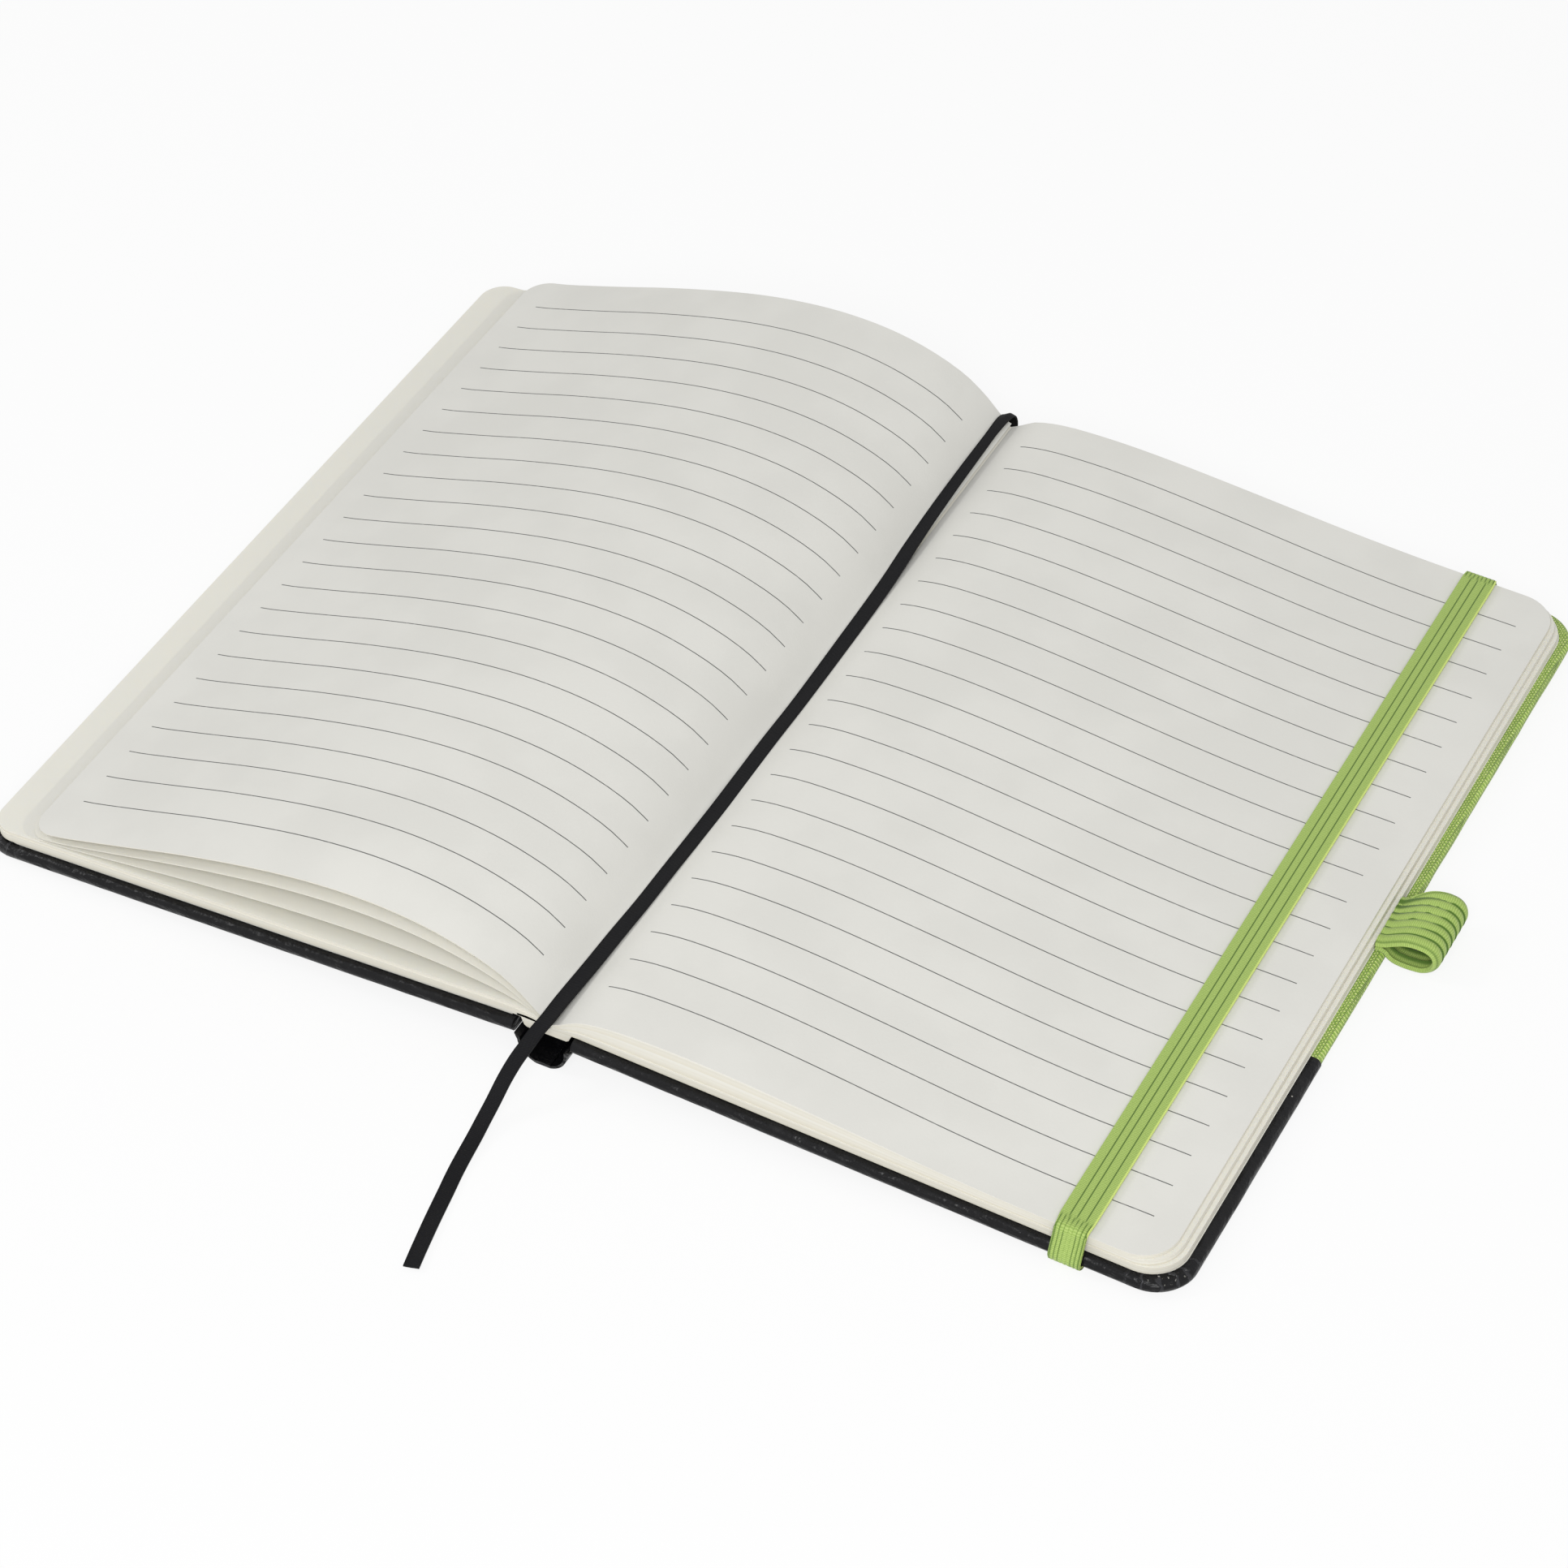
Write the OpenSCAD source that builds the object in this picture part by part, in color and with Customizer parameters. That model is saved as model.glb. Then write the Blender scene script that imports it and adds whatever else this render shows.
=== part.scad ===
// Hardcover notebook lying open at its middle, with an elastic band round the right half,
// a pen loop on the back cover's fore edge and a ribbon bookmark in the gutter.
// X runs across the spread, Y from tail to head along the spine, Z up from the table.

/* [Case] */
// Height of both covers, tail to head
case_h = 210; // [160:1:260]
// Width of one cover from its joint to its fore edge
cover_w = 130; // [100:1:170]
// Thickness of the stiff board inside a cover
board_t = 2; // [1.6:0.1:3]
// Thickness of the black leatherette
leather_t = 0.6; // [0.5:0.05:0.8]
// Thickness of the green canvas
canvas_t = 0.45; // [0.35:0.05:0.5]
// Thickness of the turned-in margin on a cover's inside
turn_t = 0.35; // [0.25:0.05:0.5]
// Width of the turned-in margin
turn_w = 12; // [8:1:18]
// Radius of a cover's two outer corners
case_corner_r = 9; // [6:0.5:14]
// Share of the case height that the leatherette takes at the tail
leather_share = 0.32; // [0.2:0.01:0.5]

/* [Spine] */
// Radius of the spine strip's bend when the book lies open
spine_r = 5.6; // [5:0.1:7]
// Height of the cover joints over the table
joint_z = 6.2; // [6:0.1:8]
// Distance of each cover joint from the middle of the spine
joint_x = 6.5; // [6.3:0.1:8.5]

/* [Pages] */
// Distance of the page edges from the case edges at head, tail and fore edge
square_w = 2; // [1.5:0.1:4]
// Thickness of all the leaves on the left
left_t = 5.5; // [4:0.1:8]
// Thickness of all the leaves on the right
right_t = 4.4; // [3.8:0.1:7]
// How far the left leaves arch up over the leaves that lie flat
left_arch = 14.5; // [6:0.5:18]
// How far the right leaves arch up
right_arch = 3; // [1:0.1:5]
// How far the top left leaf is drawn back from the lowest leaf by its arch
left_draw = 10; // [6:0.5:16]
// Radius of the leaves' outer corners
page_corner_r = 8; // [5:0.5:12]
// Height of the gutter over the cover joints
gutter_rise = 4.4; // [4:0.1:6]

/* [Band] */
// Width of the elastic band
band_w = 7.2; // [5:0.2:10]
// Thickness of the elastic band
band_t = 0.7; // [0.6:0.05:0.8]
// Distance of the band's outer edge from the fore edge
band_inset = 19.6; // [14:0.2:30]
// Distance of the band's slits from the head and tail edges
slit_inset = 12; // [8:0.5:20]

/* [Pen loop] */
// Width of the pen loop along the fore edge
loop_w = 16; // [10:0.5:24]
// Place of the loop's middle along the fore edge, from the middle of the case
loop_y = 2.6; // [-20:0.2:30]
// How far the loop stands out past the fore edge
loop_reach = 10.8; // [8:0.2:16]
// Height of the loop from its lowest to its highest line
loop_h = 6.4; // [5:0.2:9]
// Thickness of the loop's elastic
loop_t = 1; // [0.8:0.1:1.2]

/* [Ribbon] */
// Width of the ribbon bookmark
ribbon_w = 3.2; // [2:0.2:6]
// Thickness of the ribbon's rounded strip
ribbon_t = 0.8; // [0.6:0.1:1.2]

/* [Hidden] */
$fn = 64;

// Case
paper_t = 0.15;
side_skin = 0.3;
inner_w = leather_t + board_t;
turn_top = inner_w + turn_t;
cover_top = turn_top + paper_t;
edge_r = turn_top / 2;
tilt = asin(joint_z / (cover_w - edge_r));
fore_x = joint_x + cover_w * cos(tilt);
seam_y = leather_share * case_h - case_h / 2;
spine_cz = sqrt(spine_r * spine_r - 1.6 * 1.6);

// Pages
page_h = case_h - 2 * square_w;
lay_gap = 0.25;
block_z = joint_z + 0.9;
gutter = [1.2, joint_z + gutter_rise];
back_half = joint_x * 0.68;
room = 4 * (left_arch + right_arch);
left_end = fore_x - square_w - 0.4;
right_end = left_end;
page_reach = left_end - left_draw;

// Height of a cover's inner face over the table at a distance from the spine's middle
function inner_z(x) = joint_z + cover_top / cos(tilt) - (x - joint_x) * tan(tilt);

// Smooth curve through a list of points, with a number of steps between two of them
function curve_at(a, b, c, d, t) =
    0.5 * (2 * b + (c - a) * t + (2 * a - 5 * b + 4 * c - d) * t * t + (3 * b - a - 3 * c + d) * t * t * t);
function smooth(p, n) = [
    for (i = [0 : len(p) - 2], k = [0 : n - 1])
        curve_at(p[max(i - 1, 0)], p[i], p[i + 1], p[min(i + 2, len(p) - 1)], k / n),
    p[len(p) - 1]
];
function reversed(p) = [for (i = [len(p) - 1 : -1 : 0]) p[i]];

// Arch of the left leaves: share of the reach from the gutter, share of the arch's height
left_bow = smooth([[0, 0], [0.02, 0.02], [0.05, 0.16], [0.09, 0.4], [0.14, 0.62], [0.2, 0.81], [0.27, 0.94],
    [0.35, 1], [0.43, 0.985], [0.51, 0.915], [0.6, 0.78], [0.7, 0.59], [0.8, 0.365], [0.88, 0.19],
    [0.94, 0.07], [1, 0]], 4);
// Arch of the right leaves
right_bow = smooth([[0, 0], [0.03, 0.16], [0.07, 0.5], [0.12, 0.8], [0.18, 0.96], [0.24, 1], [0.32, 0.92],
    [0.42, 0.7], [0.52, 0.44], [0.62, 0.2], [0.72, 0.05], [0.8, 0]], 4);
// How the pile's thickness grows from the gutter outwards, by distance in millimetres
function pile(x) = lookup(x, [[0, 0.3], [2, 0.46], [4, 0.66], [6, 0.83], [9, 0.95], [14, 1]]);

// Line of a group of leaves: thickness of the leaves under it, share of the arch
function left_line(h, k) = [
    for (p = left_bow)
        let (d = p[0] * page_reach, x = gutter[0] - d)
        [x, inner_z(max(-x, joint_x)) - gutter_dip(d) + lay_gap + h * pile(d) + k * left_arch * p[1]]
];
function right_line(h, k) = [
    for (p = right_bow)
        let (d = p[0] * right_end, x = gutter[0] + d)
        [x, inner_z(max(x, joint_x)) - gutter_dip(d) + h * pile(d) + k * right_arch * p[1]]
];
// Near the gutter the leaves run lower than the covers' inner faces
function gutter_dip(d) = lookup(d, [[0, 0.3], [3, 0.15], [5, 0]]);

// Groups of leaves from the cover upwards: thickness under, thickness with, share of arch, drawn back
left_groups = [[0, 0.35, 0, 0], [0.35, 0.7, 0, 0.06], [0.68, 0.76, 0.53, 0.3], [0.75, 0.87, 0.86, 0.8], [0.85, 1, 1, 1]];
right_groups = [[0, 0.4, 0, 0], [0.38, 0.64, 0.22, 0.8], [0.62, 0.84, 0.56, 1.7], [0.82, 1, 1, 2.6]];

// Ribbon route, tail end last: it leaves the spine's head, lies in the gutter and runs out on the table
ribbon_route = [[0.5, 104, 7.6], [0.5, 104.4, 10.4], [0.2, 103.3, 12.7], [-0.1, 99, 13.2], [-0.1, 89, 13.1],
    [0, 77, 13], [0.2, 65, 12.7], [0.6, 54, 12.4], [1.2, 42, 12], [1.5, 31, 11.8], [1.7, 20, 11.8], [1.9, 8, 11.8],
    [2, -3, 11.8], [1.9, -14, 11.8], [2, -25, 11.8], [2.1, -36, 11.9], [1.9, -46, 11.8], [1.7, -57, 11.8],
    [1.6, -67, 11.8], [1.3, -77, 11.9], [1.1, -87, 12], [0.8, -97, 12.2], [0.8, -103, 12.3], [0.4, -106.5, 11.9],
    [-0.3, -110.2, 10.4], [-1.2, -113, 8.4], [-1.9, -116.2, 6], [-2.2, -120, 3.6], [-2.2, -124, 2.1],
    [-1.9, -128, 1.3], [-1.3, -134, 0.8], [-0.7, -138, 0.7], [0, -141.6, 0.7], [1.4, -149.2, 0.7],
    [2.9, -156.5, 0.7], [3.9, -161, 0.7]];

// Pen loop's middle line, from its end glued on the margin: shares of the reach past the fore edge and of its height
loop_root = turn_top + 0.05 + loop_t / 2;
loop_line = [[-0.2, 0], [-0.1, 0], [-0.01, -0.07], [0.06, -0.2], [0.17, -0.31], [0.34, -0.36], [0.54, -0.36],
    [0.73, -0.31], [0.88, -0.13], [0.95, 0.14], [0.92, 0.42], [0.8, 0.59], [0.58, 0.64], [0.36, 0.58],
    [0.16, 0.42], [0, 0.27], [-0.1, 0.2], [-0.2, 0.18]];

// Outline with two rounded outer corners, from x0 to x1 and across a height
module leaf_outline(x0, x1, h, r) {
    translate([x0, -h / 2]) square([x1 - r - x0, h]);
    translate([x1 - r - 1, r - h / 2]) square([r + 1, h - 2 * r]);
    translate([x1 - r, h / 2 - r]) circle(r);
    translate([x1 - r, r - h / 2]) circle(r);
}

// Rounded slab in a cover's own frame: e is how far it stands outside the leatherette's edge line
module cover_slab(e, z0, z1) {
    r = (z1 - z0) / 2;
    h = case_h + 2 * e;
    w = cover_w + e;
    c = case_corner_r + e;
    translate([0, 0, z0]) linear_extrude(2 * r) leaf_outline(0, w - r, h - 2 * r, c - r);
    translate([0, 0, z0 + r]) {
        for (s = [-1, 1]) {
            translate([0, s * (h / 2 - r), 0]) rotate([0, 90, 0]) cylinder(r = r, h = w - c);
            translate([w - c, s * (h / 2 - c), 0]) rotate([0, 0, s > 0 ? 0 : -90])
                rotate_extrude(angle = 90) translate([c - r, 0]) circle(r);
        }
        translate([w - r, c - h / 2, 0]) rotate([-90, 0, 0]) cylinder(r = r, h = h - 2 * c);
    }
}

// Stiff board of one cover in the cover's own frame
module cover_board(slits) {
    e = leather_t + side_skin;
    translate([0, 0, leather_t]) linear_extrude(board_t)
        difference() {
            leaf_outline(1, cover_w - e, case_h - 2 * e, case_corner_r - e);
            if (slits) band_slits();
        }
}

// Slits near head and tail where the band goes into the back cover, as an outline
module band_slits() {
    for (s = [-1, 1])
        translate([band_u() - band_w / 2 - 0.1, s * (case_h / 2 - slit_inset) - (s > 0 ? 0 : band_t + 0.2)])
            square([band_w + 0.2, band_t + 0.2]);
}
function band_u() = cover_w - band_inset - band_w / 2;

// Skin of one cover between two heights along Y: it wraps the board and turns in over its margin
module cover_wrap(t, y0, y1, slits) {
    intersection() {
        difference() {
            cover_slab(t - leather_t, leather_t - t, turn_top);
            translate([0, 0, leather_t]) linear_extrude(board_t)
                leaf_outline(1, cover_w - leather_t - side_skin, case_h - 2 * (leather_t + side_skin),
                    case_corner_r - leather_t - side_skin);
            translate([-1, turn_w - case_h / 2, inner_w]) cube([cover_w - turn_w + 1, case_h - 2 * turn_w, 2]);
            if (slits) translate([0, 0, -1]) linear_extrude(leather_t + 1.5) band_slits();
        }
        translate([-1, y0, -1]) cube([cover_w + 3, y1 - y0, cover_top + 3]);
    }
}

// Sheet glued over the inside of a cover, with the filler that levels it with the turned-in margin
module cover_pastedown() {
    translate([1, turn_w - case_h / 2, inner_w]) cube([cover_w - turn_w - 1, case_h - 2 * turn_w, turn_t + paper_t]);
    translate([0, 0, turn_top]) linear_extrude(paper_t)
        leaf_outline(1, cover_w - square_w - 0.4, case_h - 2 * square_w - 0.4, page_corner_r);
}

// Places a back cover piece, and its mirror image for the front
module at_back() {
    translate([joint_x, 0, joint_z]) rotate([0, tilt, 0]) children();
}
module at_front() {
    mirror([1, 0, 0]) at_back() children();
}

// Spine strip bent to a trough: it stands on its flat bottom and reaches both joints
module spine_strip(t, y0, y1) {
    out = spine_r - leather_t + t;
    translate([0, y1, 0]) rotate([90, 0, 0]) linear_extrude(y1 - y0) {
        difference() {
            translate([0, spine_cz]) circle(out);
            translate([0, spine_cz]) circle(spine_r - leather_t);
            translate([-20, spine_cz]) square([40, 20]);
            translate([-20, -20]) square([40, 20]);
        }
        for (s = [-1, 1]) {
            lip = joint_x + (s < 0 ? -0.35 : -0.05);
            end = s < 0 ? lip : joint_x + 0.25;
            polygon([[s * (spine_r - leather_t), spine_cz - 0.3], [s * out, spine_cz - 0.3],
                [s * lip, joint_z + 0.25], [s * end, joint_z + 0.3], [s * end, joint_z + leather_t - 0.05],
                [s * (spine_r - leather_t), spine_cz + 0.5]]);
        }
        translate([-1.6, 0]) square([3.2, leather_t + 0.2]);
    }
}

// Strip of constant thickness along a line of points
function unit(v) = v / norm(v);
function side_of(p, i, d) =
    let (a = p[max(i - 1, 0)], b = p[min(i + 1, len(p) - 1)], t = unit(b - a))
    [p[i][0] - t[1] * d, p[i][1] + t[0] * d];
function strip(p, t) = concat(
    [for (i = [0 : len(p) - 1]) side_of(p, i, t / 2)],
    [for (i = [len(p) - 1 : -1 : 0]) side_of(p, i, -t / 2)]);

// One group of leaves between its lower and upper lines, out to its own fore edge
module left_leaves(g) {
    end = left_end - g[3] * left_draw;
    low = concat([[-end - 1, inner_z(end + 1) + lay_gap + g[0] * left_t]], reversed(left_line(g[0] * left_t, g[2])));
    top = concat([[-end - 1, inner_z(end + 1) + lay_gap + g[1] * left_t]], reversed(left_line(g[1] * left_t, g[2])));
    intersection() {
        rotate([90, 0, 0]) linear_extrude(page_h, center = true) polygon(concat(top, reversed(low)));
        mirror([1, 0, 0]) linear_extrude(room) leaf_outline(-5, end, page_h, page_corner_r);
    }
}
module right_leaves(g) {
    end = right_end - g[3];
    low = concat(right_line(g[0] * right_t, g[2]), [[end + 1, inner_z(end + 1) + g[0] * right_t]]);
    top = concat(right_line(g[1] * right_t, g[2]), [[end + 1, inner_z(end + 1) + g[1] * right_t]]);
    intersection() {
        rotate([90, 0, 0]) linear_extrude(page_h, center = true) polygon(concat(top, reversed(low)));
        linear_extrude(room) leaf_outline(-5, end, page_h, page_corner_r);
    }
}

// Sewn leaves with their glued back: the left half arches in fanned groups, the right half lies flatter
module page_block() {
    color("ivory") {
        for (g = left_groups) left_leaves(g);
        for (g = right_groups) right_leaves(g);
        rotate([90, 0, 0]) linear_extrude(page_h, center = true)
            polygon([[-joint_x, inner_z(joint_x) + lay_gap], [-joint_x * 0.86, inner_z(joint_x) + 0.1],
                [-joint_x * 0.77, block_z + 0.4], [-back_half, block_z], [back_half, block_z],
                [joint_x * 0.77, block_z + 0.4], [joint_x * 0.89, inner_z(joint_x) - 0.1],
                [joint_x, inner_z(joint_x)], [joint_x, inner_z(joint_x) + 0.6], [gutter[0] + 1, gutter[1] - 0.1],
                [gutter[0] - 1, gutter[1] - 0.1], [-joint_x, inner_z(joint_x) + 0.8]]);
    }
}

// Cloth glued over the back of the page block
module spine_lining() {
    color("black") translate([-back_half + 0.1, -page_h / 2 + 1, block_z - 0.35])
        cube([2 * back_half - 0.2, page_h - 2, 0.35]);
}

module board_back() {
    color("gray") at_back() cover_board(true);
}

module board_front() {
    color("gray") at_front() cover_board(false);
}

module pastedown_back() {
    color("ivory") at_back() cover_pastedown();
}

module pastedown_front() {
    color("ivory") at_front() cover_pastedown();
}

// Black leatherette over the tail third of the back cover and the spine
module leatherette_back() {
    color("#1b1c1f") {
        at_back() cover_wrap(leather_t, -case_h, seam_y, true);
        spine_strip(leather_t, -case_h / 2, seam_y - 0.03);
    }
}

// Green canvas over the rest of the back cover and the spine
module canvas_back() {
    color("#7fb636") {
        at_back() cover_wrap(canvas_t, seam_y, case_h, true);
        spine_strip(leather_t, seam_y, case_h / 2);
    }
}

module leatherette_front() {
    color("#1b1c1f") at_front() cover_wrap(leather_t, -case_h, seam_y, false);
}

module canvas_front() {
    color("#7fb636") at_front() cover_wrap(canvas_t, seam_y, case_h, false);
}

// Elastic band over the right pages, round the head and tail edges and into its slits underneath
module elastic_band() {
    yp = page_h / 2;
    yc = case_h / 2;
    yt = yc - slit_inset;
    top = cover_top + right_t + 0.01;
    low = -band_t / 2 - 0.02;
    bend = [[yp - 2.4, top + band_t / 2], [yp - 0.2, top + band_t / 2], [yp + 0.5, top - 0.1], [yp + 0.9, top - 1.2],
        [yc + band_t / 2, edge_r + 0.9], [yc + band_t / 2, edge_r - 0.6], [yc - 0.6, low + 0.1], [yc - 2.5, low]];
    line = concat([[0, top + band_t / 2]], smooth(bend, 5), [[yt + 0.1, low]]);
    n = len(line);
    rim = strip(line, band_t);
    tip = leather_t + 0.3;
    half = concat([for (i = [0 : n - 1]) rim[i]],
        [[yt + 0.1, tip], [yt + 0.1 + band_t, tip], [yt + 0.1 + band_t, low + band_t / 2]],
        [for (i = [n + 1 : 2 * n - 1]) rim[i]]);
    both = concat(half, [for (i = [len(half) - 1 : -1 : 0]) [-half[i][0], half[i][1]]]);
    color("#8fc050") at_back() translate([band_u() - band_w / 2, 0, 0]) rotate([90, 0, 90])
        linear_extrude(band_w) polygon(both);
}

// Loop of wide ribbed elastic for a pen, glued to the back cover's margin
module pen_loop() {
    line = smooth([for (p = loop_line) [fore_x + p[0] * loop_reach, loop_root + p[1] * loop_h]], 6);
    color("#8fc050") translate([0, loop_y + loop_w / 2, 0]) rotate([90, 0, 0]) linear_extrude(loop_w)
        polygon(strip(line, loop_t));
}

// Satin ribbon swept along its route as a thin rounded strip; the route keeps its place on the leaves
module ribbon_bookmark() {
    p = smooth([for (q = ribbon_route) q + [0, (page_h / 2 - 103) * max(-1, min(1, q[1] / 103)),
        abs(q[1]) > 103.5 ? 0 : gutter[1] - 10.6]], 2);
    n = len(p);
    sides = 8;
    rings = [for (i = [0 : n - 1])
        let (t = unit(p[min(i + 1, n - 1)] - p[max(i - 1, 0)]), a = unit(cross(t, cross([1, 0, 0], t))), b = cross(t, a))
        for (k = [0 : sides - 1]) p[i] + a * ribbon_w / 2 * cos(k * 360 / sides) + b * ribbon_t / 2 * sin(k * 360 / sides)];
    walls = [for (i = [0 : n - 2], k = [0 : sides - 1])
        [i * sides + k, i * sides + (k + 1) % sides, (i + 1) * sides + (k + 1) % sides, (i + 1) * sides + k]];
    color("#202024") polyhedron(rings, concat(
        [[for (k = [sides - 1 : -1 : 0]) k]],
        walls,
        [[for (k = [0 : sides - 1]) (n - 1) * sides + k]]));
}

page_block();
spine_lining();
board_back();
pastedown_back();
leatherette_back();
canvas_back();
elastic_band();
pen_loop();
ribbon_bookmark();
board_front();
pastedown_front();
leatherette_front();
canvas_front();
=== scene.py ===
"""Dresses an open notebook: ruled leaves, leatherette and canvas case, ribbed elastic, satin ribbon.

Lengths in this script are millimetres until a finished mesh is scaled to metres. The studio is in metres.
X runs across the spread, Y from tail to head, Z up from the table.
"""
import math

import bmesh
import bpy
from mathutils import Matrix, Vector, noise


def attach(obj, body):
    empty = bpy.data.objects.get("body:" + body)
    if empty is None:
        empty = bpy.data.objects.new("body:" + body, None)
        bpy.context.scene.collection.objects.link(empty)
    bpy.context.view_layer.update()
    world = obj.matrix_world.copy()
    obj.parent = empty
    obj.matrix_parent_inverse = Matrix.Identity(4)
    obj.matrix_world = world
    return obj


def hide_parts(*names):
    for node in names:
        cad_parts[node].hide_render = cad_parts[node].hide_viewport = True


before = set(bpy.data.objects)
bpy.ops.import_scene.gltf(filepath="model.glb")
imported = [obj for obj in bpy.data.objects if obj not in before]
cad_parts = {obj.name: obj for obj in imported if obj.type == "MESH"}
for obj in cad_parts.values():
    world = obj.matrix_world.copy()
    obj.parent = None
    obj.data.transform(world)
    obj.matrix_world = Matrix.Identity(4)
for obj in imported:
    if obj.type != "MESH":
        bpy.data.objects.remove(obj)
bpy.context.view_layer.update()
MM = 0.001

# Case, as in the solid model: a cover leans from its joint down to its fore edge on the table
CASE_H = 210
COVER_W = 130
COVER_THICK = 3.1
EDGE_R = 1.475
CORNER_R = 9
JOINT_X = 6.5
JOINT_Z = 6.2
TILT = math.asin(JOINT_Z / (COVER_W - EDGE_R))
FORE_X = JOINT_X + COVER_W * math.cos(TILT)

# Leaves: their gutter, how thick they lie and how high they arch on each side
PAGE_H = 206
PAGE_END = FORE_X - 2.4
PAGE_CORNER_R = 8
LEFT_CORNER_R = 5.5
GUTTER = Vector((1.2, 10.6))
LEFT_THICK = 5.5
RIGHT_THICK = 4.4
LEFT_ARCH = 14.5
RIGHT_ARCH = 3
LEFT_REACH = PAGE_END - 10

# How far the arched leaves hang lower at their tail edge, and where along the spine that starts
TAIL_DROOP = 1.3
DROOP_FROM = 88

# Ruling printed on the top leaves, and where it starts and ends across each page
RULE_FIRST_Y = 92
RULE_PITCH = 8.38
RULE_COUNT = 23
RULE_WIDTH = 0.24
LEFT_PRINT = (-116.6, -5.8)
RIGHT_PRINT = (8.2, 125.6)

# Elastic band
BAND_W = 7.2
BAND_T = 0.7
BAND_MID = COVER_W - 19.6 - BAND_W / 2
BAND_RIB = 0.9
BAND_GROOVES = (-1.65, -0.14, 1.73)
# Where across the band its right edge starts to be painted lighter, a painted highlight
BAND_BRIGHT_EDGE = 3.2
SLIT_Y = CASE_H / 2 - 12

# Pen loop
LOOP_W = 16
LOOP_Y = 2.6
LOOP_REACH = 10.8
LOOP_H = 6.4
LOOP_T = 1
LOOP_ROOT = 3.5
LOOP_RIB = LOOP_W / 7
LOOP_GATHER = 1.9

# Ribbon bookmark: the crown is the fold where it leaves the spine's head
RIBBON_W = 3.2
RIBBON_T = 0.35
CROWN_AT = 3.5
CROWN_REACH = 5

# Unevenness of the glued covering
LEATHERETTE_WAVE = 0.1
CANVAS_WAVE = 0.14

# Camera of the photograph: its axes and place
LENS = 102.024
SENSOR = 36
CAMERA_RIGHT = Vector((0.882446, 0.469706, -0.025794))
CAMERA_DOWN = Vector((0.308668, -0.619535, -0.721734))
CAMERA_FORWARD = Vector((-0.354984, 0.628929, -0.69169))
CAMERA_PLACE = Vector((334.327, -597.237, 642.176))

# Strength of the even light all round, and how far the floor shines by itself where it is plainly seen
SKY = 0.5
FLOOR_GLOW = 0.85

# Lamps that face the object: name, place, size and power
LAMPS = (("key", (0.45, -1.05, 1.05), 0.7, 13.0), ("left", (-1.1, -0.35, 0.95), 0.35, 3.0))


def smooth(points, steps):
    """Smooth curve through given points."""
    line = []
    last = len(points) - 1
    for i in range(last):
        a, b, c, d = (Vector(points[max(0, min(last, i + k))]) for k in (-1, 0, 1, 2))
        for k in range(steps):
            t = k / steps
            bend = (c - a) * t + (2 * a - 5 * b + 4 * c - d) * t**2 + (3 * b - a - 3 * c + d) * t**3
            line.append((2 * b + bend) / 2)
    line.append(Vector(points[-1]))
    return line


def lookup(x, pairs):
    """Straight-line reading of a list of (place, value) pairs."""
    if x <= pairs[0][0]:
        return pairs[0][1]
    for (x0, v0), (x1, v1) in zip(pairs, pairs[1:]):
        if x <= x1:
            return v0 + (v1 - v0) * (x - x0) / (x1 - x0)
    return pairs[-1][1]


def ramp(value, start, end):
    """Straight climb from 0 at the start to 1 at the end."""
    return min(1, max(0, (value - start) / (end - start)))


# Bow of the leaves: share of the way to the fore edge, share of the arch
LEFT_BOW = smooth(
    [(0, 0), (0.02, 0.02), (0.05, 0.16), (0.09, 0.4), (0.14, 0.62), (0.2, 0.81), (0.27, 0.94), (0.35, 1),
     (0.43, 0.985), (0.51, 0.915), (0.6, 0.78), (0.7, 0.59), (0.8, 0.365), (0.88, 0.19), (0.94, 0.07),
     (1, 0)], 6)
RIGHT_BOW = smooth(
    [(0, 0), (0.03, 0.16), (0.07, 0.5), (0.12, 0.8), (0.18, 0.96), (0.24, 1), (0.32, 0.92), (0.42, 0.7),
     (0.52, 0.44), (0.62, 0.2), (0.72, 0.05), (0.8, 0)], 6)

# Near the gutter the leaves are pressed together (share of their thickness) and lie deeper (millimetres)
PILE = [(0, 0.3), (2, 0.46), (4, 0.66), (6, 0.83), (9, 0.95), (14, 1)]
DIP = [(0, 0.3), (3, 0.15), (5, 0)]
LEFT_CLEAR = 0.25


def inner_z(x):
    """Height of a cover's inner face at a distance from the spine's middle."""
    return JOINT_Z + COVER_THICK / math.cos(TILT) - (x - JOINT_X) * math.tan(TILT)


def leaf_z(side, d, thick, arch):
    """Height of a leaf at a distance from the gutter: the leaves under it, and its share of the arch."""
    base = inner_z(max(GUTTER.x * side + d, JOINT_X)) - lookup(d, DIP)
    if side < 0:
        base += LEFT_CLEAR
        bow = LEFT_ARCH * lookup(d / LEFT_REACH, LEFT_BOW)
    else:
        bow = RIGHT_ARCH * lookup(d / PAGE_END, RIGHT_BOW)
    return base + thick * lookup(d, PILE) + arch * bow


def on_cover(u, y, z):
    """A point given in the back cover's own frame, on the table's frame."""
    x = JOINT_X + u * math.cos(TILT) + z * math.sin(TILT)
    return Vector((x, y, JOINT_Z - u * math.sin(TILT) + z * math.cos(TILT)))


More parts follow.
